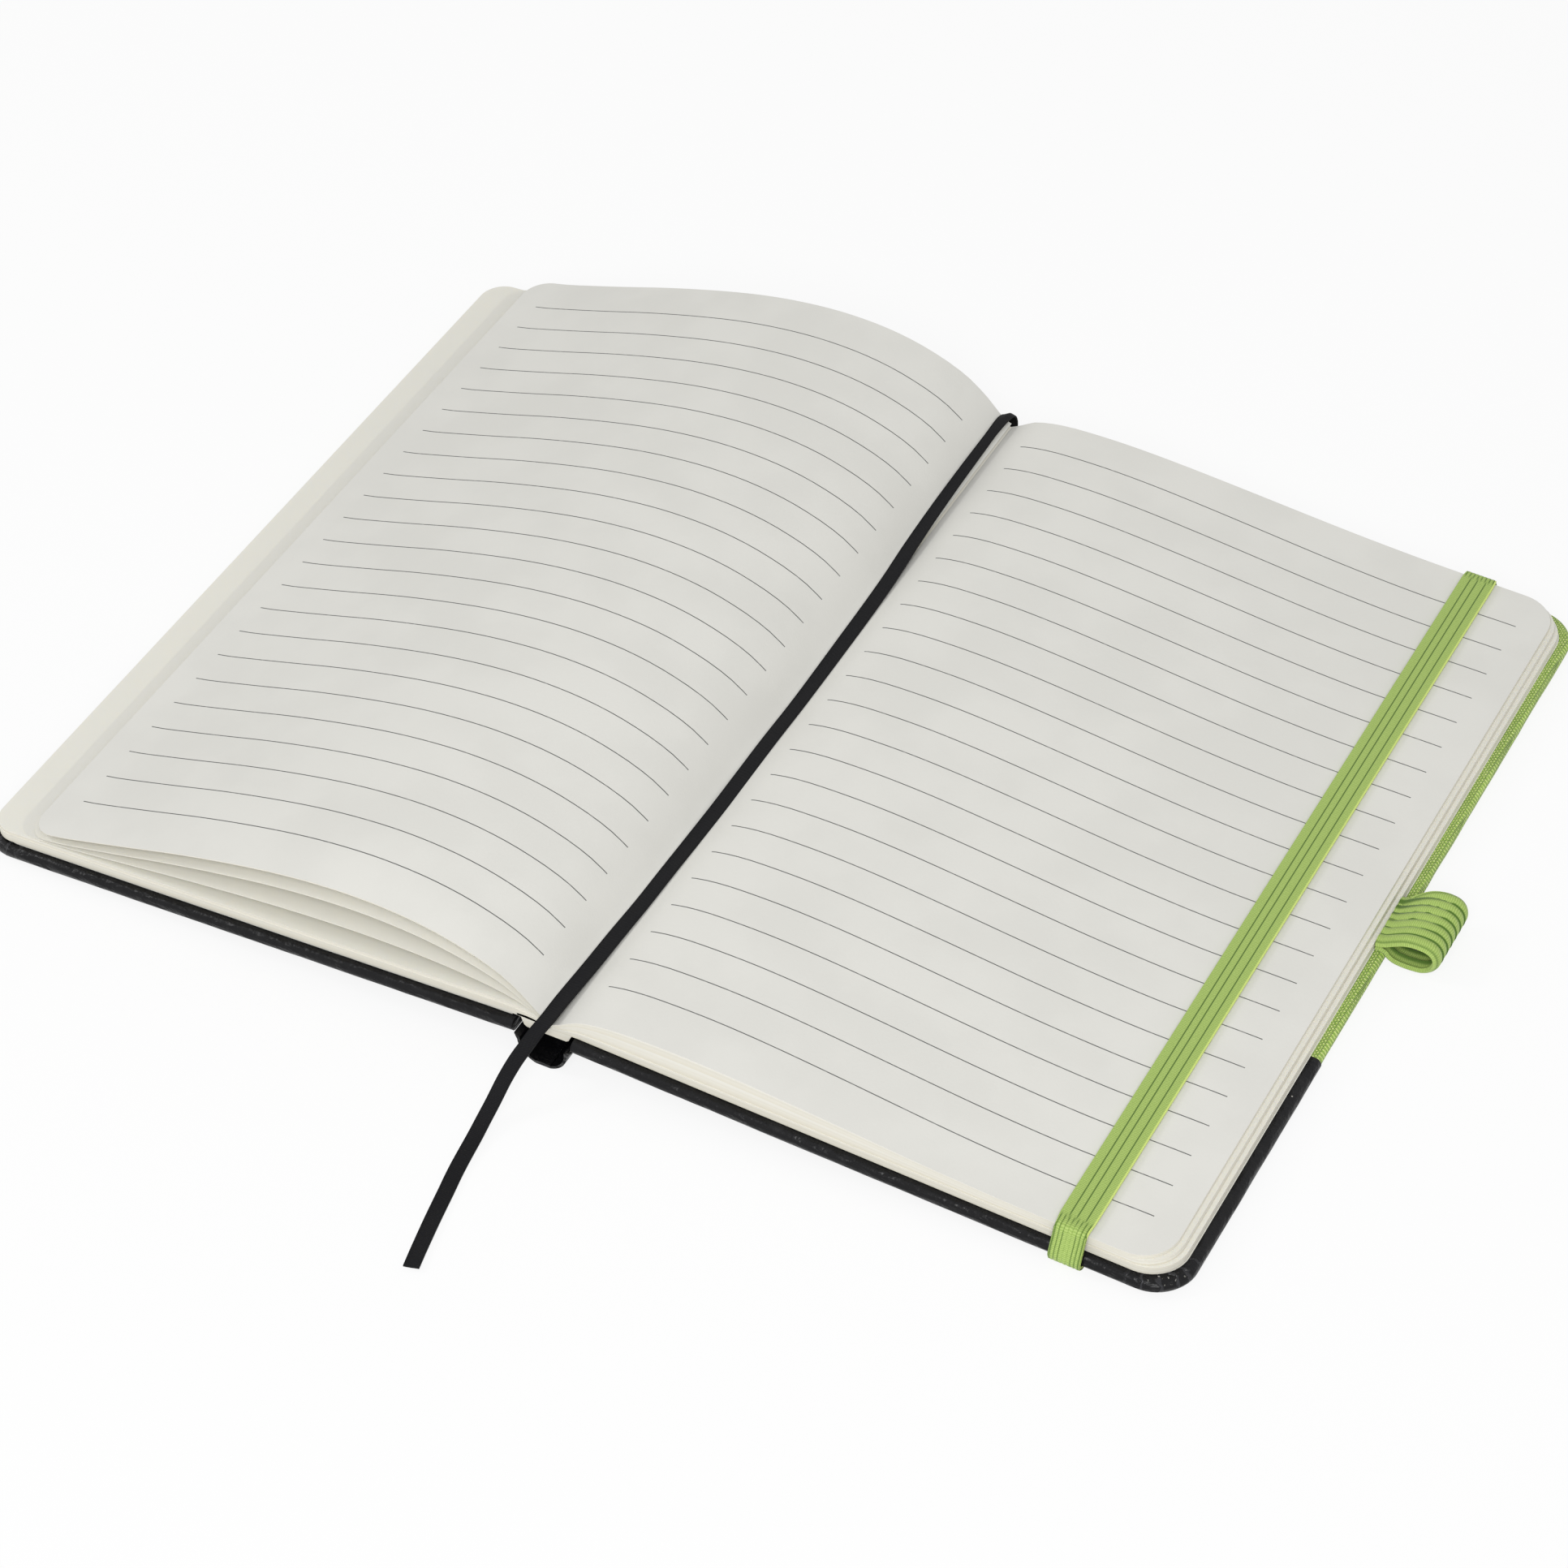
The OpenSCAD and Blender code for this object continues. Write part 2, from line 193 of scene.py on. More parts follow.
class Value:
    """A node's output that takes part in Python arithmetic."""

    def __init__(self, tree, socket):
        self.tree = tree
        self.socket = socket

    def math(self, operation, *values):
        return node(self.tree, "ShaderNodeMath", {"operation": operation}, dict(enumerate((self, *values))))

    def __add__(self, other):
        return self.math("ADD", other)

    def __sub__(self, other):
        return self.math("SUBTRACT", other)

    def __rsub__(self, other):
        return self.math("MULTIPLY", -1).math("ADD", other)

    def __mul__(self, other):
        return self.math("MULTIPLY", other)

    def __truediv__(self, other):
        return self.math("DIVIDE", other)

    def __pow__(self, other):
        return self.math("POWER", other)

    def __gt__(self, other):
        return self.math("GREATER_THAN", other)

    def __lt__(self, other):
        return self.math("LESS_THAN", other)

    def abs(self):
        return self.math("ABSOLUTE")

    def sin(self):
        return self.math("SINE")

    def between(self, low, high):
        """1 from low to high and 0 outside."""
        return (self > low) * (self < high)

    def thread(self, pitch):
        """Sine from -1 to 1 that repeats at every pitch."""
        return (self * (2 * math.pi / pitch)).sin()

    def wave(self, pitch):
        """Distance from the nearest whole pitch, from 0 to 0.5 of a pitch."""
        return self.math("PINGPONG", pitch / 2) / pitch

    def fade(self, start, end, low=0.0, high=1.0):
        """Smooth step from low to high as the value goes from start to end."""
        return node(self.tree, "ShaderNodeMapRange", {"interpolation_type": "SMOOTHSTEP", "clamp": True},
                    {"Value": self, "From Min": start, "From Max": end, "To Min": low, "To Max": high})

    __radd__ = __add__
    __rmul__ = __mul__


def node(tree, kind, settings, inputs, output=0):
    """Adds a node: its settings first, then the values or links of its sockets."""
    made = tree.nodes.new(kind)
    for name, value in settings.items():
        setattr(made, name, value)
    for name, value in inputs.items():
        if isinstance(value, Value):
            tree.links.new(value.socket, made.inputs[name])
        else:
            made.inputs[name].default_value = value
    return Value(tree, made.outputs[output])


class Finish:
    """One material: a Principled shader and what feeds it."""

    def __init__(self, name, **fixed):
        self.material = bpy.data.materials.new(name)
        self.material.use_nodes = True
        self.tree = self.material.node_tree
        self.tree.nodes.clear()
        self.shader = self.tree.nodes.new("ShaderNodeBsdfPrincipled")
        out = self.tree.nodes.new("ShaderNodeOutputMaterial")
        self.tree.links.new(self.shader.outputs[0], out.inputs[0])
        for socket, value in fixed.items():
            self.shader.inputs[socket.replace("_", " ")].default_value = value

    def node(self, kind, settings=None, inputs=None, output=0):
        return node(self.tree, kind, settings or {}, inputs or {}, output)

    def place(self, stretch=(1, 1, 1), turn=(0, 0, 0)):
        """Object coordinates in millimetres, stretched or turned for a pattern."""
        where = self.node("ShaderNodeTexCoord", output="Object")
        return self.node("ShaderNodeMapping", {"vector_type": "POINT"},
                         {"Vector": where, "Scale": [s / MM for s in stretch], "Rotation": turn})

    def surface(self, stretch=(1, 1, 1)):
        """The piece's own UV map, in millimetres across and along its strip."""
        where = self.node("ShaderNodeUVMap", {"uv_map": "strip"})
        return self.node("ShaderNodeMapping", {"vector_type": "POINT"}, {"Vector": where, "Scale": stretch})

    def axes(self, vector):
        return [self.node("ShaderNodeSeparateXYZ", inputs={0: vector}, output=i) for i in range(3)]

    def noise(self, vector, scale, detail, rough=0.5):
        return self.node("ShaderNodeTexNoise", {"noise_dimensions": "3D"},
                         {"Vector": vector, "Scale": scale, "Detail": detail, "Roughness": rough})

    def cells(self, vector, scale):
        """Distance to the middle of the nearest of many scattered cells."""
        return self.node("ShaderNodeTexVoronoi", {"feature": "F1"},
                         {"Vector": vector, "Scale": scale}, "Distance")

    def mix(self, amount, low, high):
        return self.node("ShaderNodeMix", {"data_type": "RGBA", "blend_type": "MIX"},
                         {0: amount, 6: rgb(low), 7: rgb(high)}, 2)

    def feed(self, socket, value):
        self.tree.links.new(value.socket, self.shader.inputs[socket])

    def relief(self, height, depth):
        """Bump from a height of 0 to 1, with its depth in millimetres."""
        self.feed("Normal", self.node(
            "ShaderNodeBump", inputs={"Height": height, "Distance": depth * MM, "Strength": 1.0}))


def rgb(colour):
    """A colour written as on a screen, 0 to 255, made linear for the shader."""
    if isinstance(colour, Value):
        return colour
    linear = [((c / 255 + 0.055) / 1.055) ** 2.4 if c > 10 else c / 255 / 12.92 for c in colour]
    return (*linear, 1)


def paper_finish():
    """Warm white ruled paper, uncoated."""
    dull, bright, print_grey = (223, 222, 216), (227, 226, 220), (96, 97, 96)
    paper = Finish("paper_ruled", Roughness=0.85, IOR=1.4)
    place = paper.place()
    x, y, _ = paper.axes(place)
    sheet = paper.mix(paper.noise(place, 0.05, 3).fade(0.35, 0.65), dull, bright)
    # The print runs slightly off the square, as it does on both pages of the photograph
    left_drift = (x + 20) ** 2 * 0.000107 - 0.4
    right_drift = x.fade(30, 106, 0.45, -0.8) + x.fade(104, 126, 0, 0.5)
    row = y - (x < 0) * left_drift - (x > 0) * right_drift
    off_rule = (row - (RULE_FIRST_Y - RULE_PITCH * RULE_COUNT)).wave(RULE_PITCH) * RULE_PITCH
    on_rule = off_rule.fade(RULE_WIDTH * 0.42, RULE_WIDTH * 0.58, 1, 0)
    rows = row.between(RULE_FIRST_Y - RULE_PITCH * (RULE_COUNT - 0.5), RULE_FIRST_Y + 1)
    printed = x.between(*LEFT_PRINT) + x.between(*RIGHT_PRINT)
    coverage = paper.noise(place, 0.9, 1).fade(0.2, 0.5, 0.8, 1.0)
    paper.feed("Base Color", paper.mix(on_rule * rows * printed * coverage, sheet, print_grey))
    paper.relief(paper.noise(place, 1.7, 2), 0.02)
    return paper.material


def paper_edge_finish():
    """Cut edges of many leaves: soft bands along the pack, creamier than the sheet, and darker lines painted
    as the shade in the gaps between leaves.
    """
    cream, pale, gap_shade = (224, 220, 206), (231, 229, 220), (208, 202, 184)
    edge = Finish("paper_edge", Roughness=0.9, IOR=1.4)
    # Darker lines along the pack: painted shade between the leaves
    lines = edge.noise(edge.surface((0.003, 1.6, 1)), 1.0, 1, 0.4).fade(0.32, 0.6, 0.4, 0)
    broad = edge.noise(edge.surface((0.005, 0.7, 1)), 1.0, 1).fade(0.35, 0.65)
    edge.feed("Base Color", edge.mix(lines, edge.mix(broad, cream, pale), gap_shade))
    return edge.material


def inner_paper_finish():
    """Sheets inside the fan, painted lighter and warmer than the top sheet for the light that comes warm
    through the leaves above; the subsurface adds a little of it.
    """
    sheet = Finish("paper_inner_painted_light", Roughness=0.85, IOR=1.4, Subsurface_Weight=0.15,
                   Subsurface_Radius=(1.0, 0.8, 0.5), Subsurface_Scale=3 * MM)
    cloud = sheet.noise(sheet.place(), 0.05, 2)
    # Lighter and warmer than the ruled sheet: painted light inside the fan
    sheet.feed("Base Color", sheet.mix(cloud, (230, 228, 218), (235, 232, 220)))
    return sheet.material


def endpaper_finish():
    """Plain pasted sheet over the inside of a cover."""
    sheet = Finish("endpaper", Roughness=0.85)
    place = sheet.place()
    sheet.feed("Base Color", sheet.mix(sheet.noise(place, 0.06, 3), (218, 217, 208), (227, 226, 219)))
    sheet.relief(sheet.noise(place, 1.5, 2), 0.02)
    return sheet.material


def board_finish():
    """Grey pulp board, seen only where a cut shows it."""
    board = Finish("greyboard", Roughness=0.9)
    place = board.place()
    board.feed("Base Color", board.mix(board.noise(place, 1.2, 4), (128, 124, 116), (158, 154, 145)))
    board.relief(board.noise(place, 2, 3), 0.05)
    return board.material


def lining_finish():
    """Open-weave cloth glued over the back of the leaves."""
    cloth = Finish("lining_cloth", Roughness=0.9)
    x, y, _ = cloth.axes(cloth.place())
    threads = (x.wave(0.7) + y.wave(0.7)).fade(0.3, 0.7)
    cloth.feed("Base Color", cloth.mix(threads, (224, 222, 210), (190, 186, 170)))
    cloth.relief(threads, 0.06)
    return cloth.material


def leatherette_finish():
    """Black coated leatherette: fine grain, a wavy edge, pleats at the tail corners with painted highlights
    on their ridges, dust and rubbing.
    """
    black, rubbed, pleat_highlight, dust = (11, 11, 13), (20, 20, 22), (70, 70, 74), (178, 176, 168)
    skin = Finish("leatherette_black", Roughness=0.42, IOR=1.5, Specular_IOR_Level=0.22)
    place = skin.place()
    x, y, z = skin.axes(place)
    grain = skin.cells(place, 1.9) * 0.6 + skin.noise(place, 1.1, 4) * 0.4
    along = skin.noise(skin.place((0.16, 0.16, 0.5)), 1.0, 3).fade(0.35, 0.7)
    rub = skin.noise(place, 0.35, 4).fade(0.55, 0.75)
    # Round each tail corner the covering is gathered into pleats that run to the edge; their ridges are
    # painted lighter as a highlight, besides their bump
    out = x.abs() - (FORE_X - CORNER_R - 1)
    tail = (y + (CASE_H / 2 - CORNER_R - 1)) * -1
    turn = out.math("ARCTAN2", tail) + skin.noise(place, 0.4, 2) * 0.35
    folds = (turn * 19).sin().fade(0.55, 0.98) * out.fade(-3, 2) * tail.fade(-3, 2)
    # The back cover's tail corner is scuffed on its upper edge
    near = out.fade(-1, 5) * tail.fade(1, 7) * (x > 0)
    scuff = near * (skin.noise(place, 1.3, 4) > 0.66) * z.fade(2.3, 3.0)
    speck = skin.cells(place, 0.33).fade(0.06, 0.085, 1, 0) * (skin.noise(place, 0.09, 2) > 0.57)
    # The pleats' ridges are mixed towards grey: painted highlight
    tone = skin.mix(folds * 0.4, skin.mix(rub, black, rubbed), pleat_highlight)
    skin.feed("Base Color", skin.mix(speck + scuff * 0.8, tone, dust))
    skin.feed("Roughness", grain * 0.12 + rub * 0.1 + 0.24)
    skin.relief(grain * 0.2 + along * 0.9 + folds * 0.7, 0.3)
    return skin.material


def canvas_finish():
    """Lime canvas in a basket weave: crossings painted lighter as a highlight, hollows painted darker as
    shade.
    """
    pitch = 0.9
    cloth = Finish("canvas_lime", Roughness=0.75, Sheen_Weight=0.25, Sheen_Roughness=0.4)
    place = cloth.place(turn=(0, 0, math.radians(1)))
    x, y, z = cloth.axes(place)
    along = y.thread(pitch)
    across = (x + z * 0.8).thread(pitch)
    weave = (along * across).fade(-0.8, 0.8)
    strand = cloth.noise(cloth.place(), 3.2, 2).fade(0.3, 0.7)
    raised = ((along.abs() + across.abs()) * 0.5).fade(0.1, 0.75)
    patch = cloth.noise(place, 0.12, 3).fade(0.3, 0.7)
    low = cloth.mix(patch, (116, 156, 48), (136, 176, 62))
    high = cloth.mix(strand, (192, 220, 104), (230, 244, 156))
    # Lighter where the threads cross over: painted highlight, mixed with the threads' own uneven tone
    tone = cloth.mix(weave * 0.75 + strand * 0.25, low, high)
    # The hollows between threads are painted dark green: painted shade
    cloth.feed("Base Color", cloth.mix(raised, (64, 98, 20), tone))
    cloth.relief(weave * 0.5 + raised * 0.6 + strand * 0.2, 0.2)
    return cloth.material


def elastic_finish(name, grooves, rib_pitch, ribs_from, bright_edge, half_width):
    """Knitted lime elastic: fine ticks across, narrow grooves along, ribs where it is slack, with painted
    shade in the grooves and between the ribs and a painted highlight along the right edge.
    """
    dark, light, lit_right_edge, hollow_shade = (136, 168, 74), (190, 212, 124), (214, 232, 128), (66, 102, 26)
    knit = Finish(name, Roughness=0.7, Sheen_Weight=0.15, Sheen_Roughness=0.4, Specular_IOR_Level=0.3)
    across, along, _ = knit.axes(knit.surface())
    tick = (along * (2 * math.pi / 0.4) + (across * 5).sin() * 0.8).sin().fade(-0.9, 0.9)
    fuzz = knit.noise(knit.surface((3, 1.2, 1)), 1.6, 3)
    slack = (along.abs() - ribs_from).fade(-2.0, 0.5)
    rib = (across + rib_pitch / 2).wave(rib_pitch).fade(0.0, 0.4)
    # Painted shade between the slack ribs and in the grooves, left off at the strip's edges
    shade = slack * (1 - rib) * across.abs().fade(half_width - 0.4, half_width - 0.2, 1, 0)
    for place in grooves:
        shade = shade + (across - place).abs().fade(0.04, 0.2, 1, 0) * (1 - slack) * 0.9
    body = knit.mix(tick * 0.45 + fuzz * 0.55, dark, light)
    # A lighter strip along the right edge: painted highlight
    edged = knit.mix(across.fade(bright_edge, bright_edge + 0.25), body, lit_right_edge)
    knit.feed("Base Color", knit.mix(shade.fade(0, 1, 0, 0.92), edged, hollow_shade))
    knit.relief(tick * 0.3 + fuzz * 0.2 + (1 - shade) * 0.6, 0.16)
    return knit.material


def ribbon_finish():
    """Black satin ribbon: fine diagonal weave and bound edges."""
    satin = Finish("ribbon_satin", Roughness=0.55, Specular_IOR_Level=0.12)
    across, along, _ = satin.axes(satin.surface())
    twill = (along + across * 0.9).thread(0.42).fade(-0.6, 0.9)
    fuzz = satin.noise(satin.surface((3, 0.8, 1)), 1.5, 3)
    bound = across.abs().fade(1.05, 1.35)
    tone = satin.mix(twill * 0.6 + fuzz * 0.4, (10, 10, 11), (27, 27, 30))
    satin.feed("Base Color", satin.mix(bound * 0.5, tone, (14, 14, 16)))
    satin.relief(twill * 0.7 + bound * 0.6, 0.07)
    return satin.material


def put_in_scene(name, data):
    """A new object with this data, at the origin."""
    made = bpy.data.objects.new(name, data)
    bpy.context.scene.collection.objects.link(made)
    return made


def finished(bm, name, materials, body, replaces, smooth_angle):
    """Scales a mesh to metres, shades it smooth with sharp corners, and puts it on its body."""
    bmesh.ops.scale(bm, verts=bm.verts, vec=(MM, MM, MM))
    for face in bm.faces:
        face.smooth = True
    limit = math.radians(smooth_angle)
    for edge in bm.edges:
        if len(edge.link_faces) == 2:
            edge.smooth = edge.calc_face_angle(0) < limit
    mesh = bpy.data.meshes.new(name)
    bm.to_mesh(mesh)
    bm.free()
    piece = put_in_scene(name, mesh)
    for material in materials:
        mesh.materials.append(material)
    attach(piece, body)
    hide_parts(*replaces)
    return piece


def cut(bm, axis, place):
    """Cuts every face at a place on one axis."""
    co, no = [0, 0, 0], [0, 0, 0]
    co[axis], no[axis] = place, 1
    bmesh.ops.bisect_plane(bm, geom=bm.verts[:] + bm.edges[:] + bm.faces[:], plane_co=co, plane_no=no)


def new_verts(result):
    """The vertices among what an operator made."""
    return [v for v in result["geom"] if isinstance(v, bmesh.types.BMVert)]


# Where a sheet is cut to bend: distances from the gutter, and places along the spine
BENDS = [1, 2, 3, 4, 6, 8, 10.5] + [13 + 3 * k for k in range(40)]
ROWS = [-98, -92] + [21 * k for k in range(-4, 5)]

# Packs of leaves from the cover upwards: leaves under and with it, share of the arch below and above,
# drawn back at the fore edge at tail and at head, set back at head and at tail
LEFT_PACKS = [
    (0.00, 0.20, 0, 0, 0.3, 0.3, 1.6, 0.1),
    (0.195, 0.38, 0, 0, 0.3, 0.4, 1.8, 0.0),
    (0.375, 0.53, 0, 0, 0.4, 0.6, 2.0, 0.1),
    (0.535, 0.56, 0.38, 0.382, 6.5, 6.3, 1.5, 0.3),
    (0.62, 0.645, 0.808, 0.81, 9.6, 9.8, 1.0, 0.2),
    (0.97, 1, 0.99, 1, 11.2, 11.4, 0.6, 0),
]
RIGHT_PACKS = [
    (0.00, 0.42, 0, 0.05, 0.0, 0, 0.9, 0),
    (0.41, 0.78, 0.05, 0.6, 0.9, 0.9, 1.0, 0.12),
    (0.77, 1, 0.6, 1, 1.9, 1.9, 1.1, 0.0),
]

# Outline of the glued back that joins both halves, and its end and length along the spine
BACK_OUTLINE = [
    (-6.5, 9.5), (-5.6, 9.4), (-5, 7.5), (-4.42, 7.1), (4.42, 7.1), (5, 7.5), (5.8, 9.2), (6.5, 9.3),
    (6.5, 9.9), (2.2, 10.5), (0.2, 10.5), (-6.5, 10.1)]
BACK_TAIL = -PAGE_H / 2 + 0.1
BACK_LENGTH = PAGE_H - 1.3

# Material slots of the leaves
RULED, EDGE, INNER = 0, 1, 2

# Step between packs in the pattern of their cut edges, so that no two show the same bands
BAND_STEP = 7.3
RIGHT_SEED = 20


def ripple(side, d, y, arch):
    """Slight waviness of a sheet, larger on the leaves that stand free, and their droop at the tail."""
    wave = 0.14 * (0.4 + arch) * noise.noise(Vector((d / 55, y / 70, side * 3.1))) * min(1, d / 30)
    if side > 0:
        return wave
    past = max(0, (-y - DROOP_FROM) / 15)
    return wave - arch * TAIL_DROOP * past ** 2 * lookup(d / LEFT_REACH, LEFT_BOW)


def leaf_pack(bm, side, pack, radius, printed, seed):
    """Adds one closed pack of leaves: a sheet with two rounded corners, cut across, thickened and bent."""
    low, high, arch_low, arch_high, drawn_tail, drawn_head, head, tail = pack
    thick = LEFT_THICK if side < 0 else RIGHT_THICK
    end = PAGE_END - side * GUTTER.x - drawn_tail
    sheet = bmesh.new()
    uv = sheet.loops.layers.uv.new("strip")
    bmesh.ops.create_grid(sheet, x_segments=1, y_segments=1, size=0.5)
    for v in sheet.verts:
        v.co = Vector(((v.co.x + 0.5) * end, PAGE_H / 2 - head if v.co.y > 0 else tail - PAGE_H / 2, 0))
    outer = [v for v in sheet.verts if v.co.x > 1]
    bmesh.ops.bevel(sheet, geom=outer, offset=radius, offset_type="OFFSET", segments=10, profile=0.5,
                    affect="VERTICES", material=-1)
    for d in BENDS:
        if d < end - 0.5:
            cut(sheet, 0, d)
    for y in ROWS:
        cut(sheet, 1, y)
    for v in sheet.verts:
        v.co.x *= 1 - (drawn_head - drawn_tail) * (v.co.y / PAGE_H + 0.5) / end
    top = set(new_verts(bmesh.ops.extrude_face_region(sheet, geom=sheet.faces[:])))
    for face in sheet.faces:
        above = len([v for v in face.verts if v in top])
        rim = above not in (0, len(face.verts)) and max(v.co.x for v in face.verts) > 0.5
        face.material_index = EDGE if rim else RULED if printed and above else INNER
        for loop in face.loops:
            share = high if loop.vert in top else low
            loop[uv].uv = (loop.vert.co.x + loop.vert.co.y, share * thick + seed * BAND_STEP)
    for v in sheet.verts:
        d, y = v.co.x, v.co.y
        share, arch = (high, arch_high) if v in top else (low, arch_low)
        z = leaf_z(side, d, share * thick, arch) + ripple(side, d, y, arch)
        v.co = Vector((GUTTER.x + side * d, y, z))
    bmesh.ops.recalc_face_normals(sheet, faces=sheet.faces)
    bent = bpy.data.meshes.new("pack")
    sheet.to_mesh(bent)
    sheet.free()
    bm.from_mesh(bent)
    bpy.data.meshes.remove(bent)


def make_leaves(paper, edge, inner):
    """Both halves of the page block and the glued back between them."""
    bm = bmesh.new()
    uv = bm.loops.layers.uv.new("strip")
    left = (-1, LEFT_PACKS, LEFT_CORNER_R, 0)
    right = (1, RIGHT_PACKS, PAGE_CORNER_R, RIGHT_SEED)
    for side, packs, radius, first in (left, right):
        for seed, pack in enumerate(packs, first):
            leaf_pack(bm, side, pack, radius, pack is packs[-1], seed)
    rim = [bm.verts.new((x, BACK_TAIL, z)) for x, z in BACK_OUTLINE]
    moved = new_verts(bmesh.ops.extrude_face_region(bm, geom=[bm.faces.new(rim)]))
    bmesh.ops.translate(bm, verts=moved, vec=(0, BACK_LENGTH, 0))
    made = {f for v in rim + moved for f in v.link_faces}
    for f in made:
        f.material_index = EDGE
        for loop in f.loops:
            loop[uv].uv = (loop.vert.co.y, loop.vert.co.z * 2)
    bmesh.ops.recalc_face_normals(bm, faces=list(made))
    return finished(bm, "leaves", [paper, edge, inner], "book", ["page_block"], 40)


# Spacing of the cuts in the covering, and the flat spine that isn't made uneven
SKIN_STEP = 3.1
SPINE_HALF = 12


def dressed_skin(cad_name, name, material, body, wave):
    """A case skin: the solid's own mesh merged, cut finely and made slightly uneven, as glued cloth is."""
    bm = bmesh.new()
    bm.from_mesh(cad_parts[cad_name].data)
    bmesh.ops.scale(bm, verts=bm.verts, vec=(1 / MM,) * 3)
    bmesh.ops.remove_doubles(bm, verts=bm.verts, dist=0.004)
    low = Vector(map(min, zip(*(v.co for v in bm.verts))))
    high = Vector(map(max, zip(*(v.co for v in bm.verts))))
    for axis in (0, 1):
        place = low[axis] + SKIN_STEP
        while place < high[axis] - 0.5:
            cut(bm, axis, place)
            place += SKIN_STEP
    bm.normal_update()
    for v in bm.verts:
        if abs(v.co.x) > SPINE_HALF:
            away = noise.noise(v.co / 9) * 0.6 + noise.noise(v.co / 3.5) * 0.4
            v.co += v.normal * away * wave
            v.co.z = max(v.co.z, 0.0)
    return finished(bm, name, [material], body, [cad_name], 35)


def ribbed(across, pitch, sharpness):
    """Height across a ribbed strip, from 0.3 on a rib to -0.7 between two."""
    return abs(math.cos(across * math.pi / pitch)) ** sharpness - 0.7


def bent_strip(name, line, sideways, size, cells, relief, squeeze, material, node_name):
    """A strip of elastic or ribbon: a grid bent along a line, with its ribs, then given its thickness."""
    width, thick = size
    bm = bmesh.new()
    uv = bm.loops.layers.uv.new("strip")
    steps = len(line) - 1
    bmesh.ops.create_grid(bm, x_segments=steps, y_segments=cells, size=0.5)
    length = [0.0]
    for a, b in zip(line, line[1:]):
        length.append(length[-1] + (b - a).length)
    middle = length[-1] / 2
    frames = []
    for i, point in enumerate(line):
        t = (line[min(i + 1, steps)] - line[max(i - 1, 0)]).normalized()
        side = sideways(t)
        frames.append((point, side, side.cross(t).normalized()))
    where = {}
    for v in bm.verts:
        i = round((v.co.x + 0.5) * steps)
        where[v] = (v.co.y * width, length[i] - middle, i)
    for face in bm.faces:
        for loop in face.loops:
            loop[uv].uv = where[loop.vert][:2]
    for v, (across, along, i) in where.items():
        point, side, up = frames[i]
        across = squeeze(across, along)
        v.co = point + side * across + up * relief(across, along)
    bmesh.ops.recalc_face_normals(bm, faces=bm.faces)
    bmesh.ops.solidify(bm, geom=bm.faces[:], thickness=thick)
    return finished(bm, name, [material], "book", [node_name], 60)


# At the head the right leaves end this much short, and the band with them
HEAD_DRAW = 1.1

# Half the length of the band that lies stretched over the leaves
BAND_TAUT = 101


def make_band(material):
    """Elastic band over the right leaves, round head and tail and into the slits underneath."""
    top = COVER_THICK + RIGHT_THICK + 0.01 + BAND_T / 2
    low = -BAND_T / 2 - 0.02
    page, case = PAGE_H / 2, CASE_H / 2
    outer = case + BAND_T / 2
    half = [Vector((y, top)) for y in range(0, 100, 4)]
    half += smooth(
        [(page - 2.4, top), (page - 0.2, top), (page + 0.5, top - 0.45), (page + 0.9, top - 1.55),
         (outer, EDGE_R + 0.9), (outer, EDGE_R - 0.6), (case - 0.6, low + 0.1), (case - 2.5, low)], 6)
    half += [Vector((SLIT_Y + y, low + z)) for y, z in ((2, 0), (0.5, 0), (0.4, 0.6))]

    def drawn(p):
        over_leaves = p.y > 4 and p.x > 50
        return p.x - HEAD_DRAW * over_leaves

    line = [on_cover(BAND_MID, -p.x, p.y) for p in reversed(half[1:])]
    line += [on_cover(BAND_MID, drawn(p), p.y) for p in half]
    right = Vector((math.cos(TILT), 0, -math.sin(TILT)))

    def relief(across, along):
        slack = ramp(abs(along), BAND_TAUT, BAND_TAUT + 3)
        return slack * 0.3 * ribbed(across, BAND_RIB, 0.7)

    def squeeze(across, along):
        return across * (1 - 0.07 * ramp(abs(along), BAND_TAUT - 1, BAND_TAUT + 3))

    return bent_strip("band", line, lambda t: right, (BAND_W, BAND_T * 0.75), 64, relief, squeeze, material,
                      "elastic_band")


# Side view of the pen loop from its upper end to its lower: shares of its reach and of its height
LOOP_SHAPE = [
    (-0.2, 0), (-0.1, 0), (-0.01, -0.07), (0.06, -0.2), (0.17, -0.31), (0.34, -0.36), (0.54, -0.36),
    (0.73, -0.31), (0.88, -0.13), (0.95, 0.14), (0.92, 0.42), (0.8, 0.59), (0.58, 0.64), (0.36, 0.58),
    (0.16, 0.42), (0, 0.27), (-0.1, 0.2), (-0.2, 0.18)]


def make_pen_loop(material):
    """Wide ribbed elastic loop glued to the back cover's margin."""
    path = [(FORE_X + a * LOOP_REACH, LOOP_ROOT + b * LOOP_H) for a, b in LOOP_SHAPE]
    line = [Vector((p.x, LOOP_Y, p.y)) for p in smooth(path, 8)]
    to_head = Vector((0, 1, 0))

    def relief(across, along):
        return 0.75 * ribbed(across, LOOP_RIB, 0.6)

    def squeeze(across, along):
        # The head side is gathered where the loop goes under the leaves
        rooted = ramp(abs(along), 4, 14)
        return across - LOOP_GATHER * rooted * (across / LOOP_W + 0.5) ** 2

    return bent_strip("pen_loop_elastic", line, lambda t: to_head, (LOOP_W, LOOP_T * 0.8), 84, relief,
                      squeeze, material, "pen_loop")


